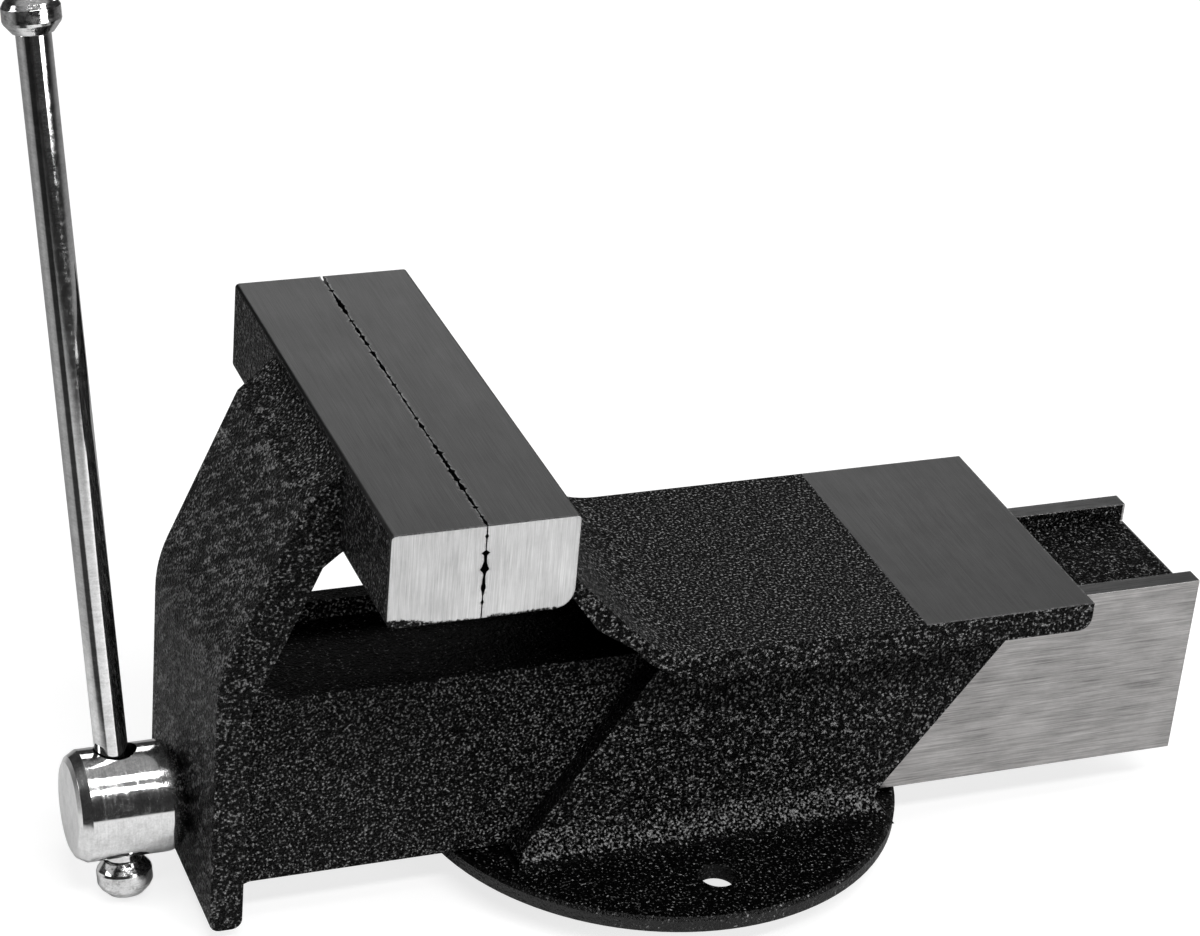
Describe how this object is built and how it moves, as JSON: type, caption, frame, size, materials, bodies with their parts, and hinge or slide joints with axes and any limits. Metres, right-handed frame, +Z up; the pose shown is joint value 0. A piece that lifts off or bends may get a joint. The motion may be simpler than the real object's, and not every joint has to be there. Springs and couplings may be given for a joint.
{
  "type": "bench vise",
  "caption": "Bench vise with one-piece jaws, round bolt-down foot, flat anvil, square channel slide, screw and sliding T-handle.",
  "frame": {"origin": "centre of the foot's underside, midway between its two bolt holes", "axes": "+X from the handle towards the rear along the screw, +Y across the jaws, +Z up out of the bench"},
  "size_m": [0.3521, 0.15, 0.2571],
  "materials": {
    "black_casting": "coarse speckled black coat, with jaw tops, jaw ends, anvil rear and slide rear ground bare",
    "plain_iron": "machined iron",
    "plain_steel": "turned steel, lightly oiled",
    "polished_steel": "bright polished steel"
  },
  "bodies": {
    "base": {"fixed_body": "black_casting", "spindle_nut": "plain_iron", "nut_screws": "plain_steel"},
    "slide": {"movable_jaw": "black_casting", "apron_washer": "plain_steel"},
    "spindle": {"spindle_head": "polished_steel", "spindle_screw": "plain_steel", "thrust_spring": "plain_steel", "pin_washer": "plain_steel", "split_pin": "plain_steel"},
    "handle": {"handle_bar": "polished_steel", "upper_knob": "polished_steel", "lower_knob": "polished_steel"}
  },
  "joints": [
    {"name": "jaw_slide", "type": "slide", "parent": "base", "child": "slide", "axis": [-1, 0, 0], "range_m": [0, 0.14]},
    {"name": "spindle_turn", "type": "hinge", "parent": "slide", "child": "spindle", "pos_m": [-0.1648, 0, 0.021], "axis": [-1, 0, 0], "range_deg": [0, 12590]},
    {"name": "handle_slide", "type": "slide", "parent": "spindle", "child": "handle", "axis": [0.0645, -0.2075, -0.9761], "range_m": [-0.0007, 0.2035]}
  ],
  "couplings": [
    {"joint": "jaw_slide", "follows": "spindle_turn", "m_per_rad": 0.00063662}
  ]
}
